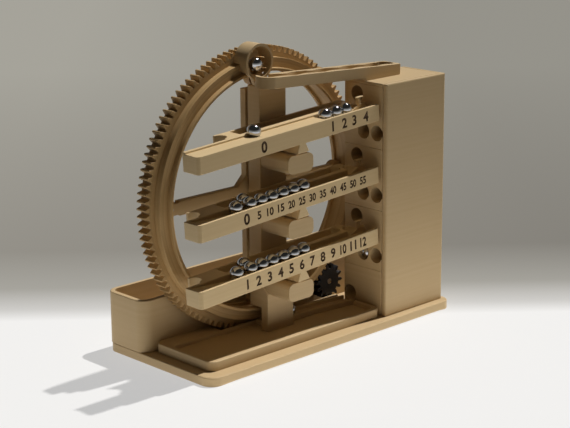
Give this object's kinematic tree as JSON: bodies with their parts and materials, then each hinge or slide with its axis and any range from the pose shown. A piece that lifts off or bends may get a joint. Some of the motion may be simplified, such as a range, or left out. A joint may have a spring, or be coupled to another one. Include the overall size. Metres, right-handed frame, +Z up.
{
  "type": "rolling ball clock",
  "caption": "Free-standing rolling ball clock: a motor-driven toothed wheel lifts steel balls to a ramp, and tipping rails hold them to show the time.",
  "frame": {"origin": "middle of the underside of the base plate", "axes": "+X to the right as the clock is read, +Y to the back, +Z up"},
  "size_m": [0.2362, 0.106, 0.205],
  "materials": {
    "printed_tan": "tan printed plastic with fine layer lines",
    "steel_ball": "polished bearing steel",
    "plain_steel": "bright zinc and plain steel",
    "board_green": "green circuit board",
    "black_plastic": "black moulded plastic"
  },
  "bodies": {
    "frame": {"base_plate": "printed_tan", "plinth_tray": "printed_tan", "tower_foot": "printed_tan", "hour_module": "printed_tan", "five_minute_module": "printed_tan", "minute_module": "printed_tan", "tower_cap": "printed_tan", "tower_cover": "printed_tan", "support_post": "printed_tan", "hour_arm": "printed_tan", "five_minute_arm": "printed_tan", "minute_arm": "printed_tan", "wheel_spider": "printed_tan", "top_ramp": "printed_tan", "ball_hoop": "printed_tan", "return_chute": "printed_tan", "rear_box": "printed_tan", "base_screws": "plain_steel", "spider_screws": "plain_steel", "roller_pins": "plain_steel", "hour_pivot_pin": "plain_steel", "five_minute_pivot_pin": "plain_steel", "minute_pivot_pin": "plain_steel", "gear_motor": "plain_steel", "controller_board": "board_green", "board_chips": "black_plastic", "power_socket": "black_plastic", "board_spacers": "black_plastic"},
    "wheel": {"lift_wheel": "printed_tan", "wheel_lip": "printed_tan", "pocket_magnet": "plain_steel"},
    "pinion": {"drive_pinion": "black_plastic", "motor_shaft": "plain_steel"},
    "right_roller": {"right_guide_roller": "printed_tan"},
    "top_roller": {"top_guide_roller": "printed_tan"},
    "left_roller": {"left_guide_roller": "printed_tan"},
    "bottom_roller": {"bottom_guide_roller": "printed_tan"},
    "hour_tipper": {"hour_rail": "printed_tan", "hour_fixed_ball": "steel_ball", "hour_weight_ball": "steel_ball"},
    "hour_rolling": {"hour_balls": "steel_ball"},
    "five_minute_tipper": {"five_minute_rail": "printed_tan", "five_minute_fixed_ball": "steel_ball", "five_minute_weight_ball": "steel_ball"},
    "five_minute_rolling": {"five_minute_balls": "steel_ball"},
    "minute_tipper": {"minute_rail": "printed_tan", "minute_fixed_ball": "steel_ball", "minute_weight_ball": "steel_ball"},
    "minute_rolling": {"minute_balls": "steel_ball"},
    "returning": {"return_balls": "steel_ball"},
    "falling": {"tower_ball": "steel_ball"},
    "lifted": {"lifted_ball": "steel_ball"}
  },
  "joints": [
    {"name": "wheel_spin", "type": "hinge", "parent": "frame", "child": "wheel", "pos_m": [-0.023, 0, 0.1038], "axis": [0, 1, 0], "continuous": true},
    {"name": "pinion_spin", "type": "hinge", "parent": "frame", "child": "pinion", "pos_m": [0.04657, 0, 0.0225], "axis": [0, 1, 0], "continuous": true},
    {"name": "right_roller_spin", "type": "hinge", "parent": "frame", "child": "right_roller", "pos_m": [0.05385, 0.0059, 0.1038], "axis": [0, 1, 0], "continuous": true},
    {"name": "top_roller_spin", "type": "hinge", "parent": "frame", "child": "top_roller", "pos_m": [-0.023, 0.0059, 0.18065], "axis": [0, 1, 0], "continuous": true},
    {"name": "left_roller_spin", "type": "hinge", "parent": "frame", "child": "left_roller", "pos_m": [-0.09985, 0.0059, 0.1038], "axis": [0, 1, 0], "continuous": true},
    {"name": "bottom_roller_spin", "type": "hinge", "parent": "frame", "child": "bottom_roller", "pos_m": [-0.023, 0.0059, 0.02695], "axis": [0, 1, 0], "continuous": true},
    {"name": "hour_rail_tip", "type": "hinge", "parent": "frame", "child": "hour_tipper", "pos_m": [-0.023, -0.028, 0.0517], "axis": [0, 1, 0], "range_deg": [0, 16.9]},
    {"name": "hour_balls_roll", "type": "slide", "parent": "hour_tipper", "child": "hour_rolling", "axis": [0.9982, 0, 0.0593], "range_m": [0, 0.06]},
    {"name": "five_minute_rail_tip", "type": "hinge", "parent": "frame", "child": "five_minute_tipper", "pos_m": [-0.023, -0.028, 0.0953], "axis": [0, 1, 0], "range_deg": [0, 16.9]},
    {"name": "five_minute_balls_roll", "type": "slide", "parent": "five_minute_tipper", "child": "five_minute_rolling", "axis": [0.9982, 0, 0.0593], "range_m": [0, 0.06]},
    {"name": "minute_rail_tip", "type": "hinge", "parent": "frame", "child": "minute_tipper", "pos_m": [-0.023, -0.028, 0.1389], "axis": [0, 1, 0], "range_deg": [0, 16.9]},
    {"name": "minute_balls_roll", "type": "slide", "parent": "minute_tipper", "child": "minute_rolling", "axis": [0.9982, 0, 0.0593], "range_m": [0, 0.02]},
    {"name": "return_balls_roll", "type": "slide", "parent": "frame", "child": "returning", "axis": [1, 0, 0], "range_m": [0, 0.02]},
    {"name": "tower_ball_roll", "type": "slide", "parent": "frame", "child": "falling", "axis": [1, 0, 0], "range_m": [0, 0.018]},
    {"name": "lifted_ball_roll", "type": "slide", "parent": "frame", "child": "lifted", "axis": [0, -1, 0], "range_m": [0, 0.008]}
  ],
  "couplings": [
    {"joint": "pinion_spin", "follows": "wheel_spin", "ratio": -8.4286},
    {"joint": "right_roller_spin", "follows": "wheel_spin", "ratio": 13.833},
    {"joint": "top_roller_spin", "follows": "wheel_spin", "ratio": 13.833},
    {"joint": "left_roller_spin", "follows": "wheel_spin", "ratio": 13.833},
    {"joint": "bottom_roller_spin", "follows": "wheel_spin", "ratio": 13.833}
  ]
}
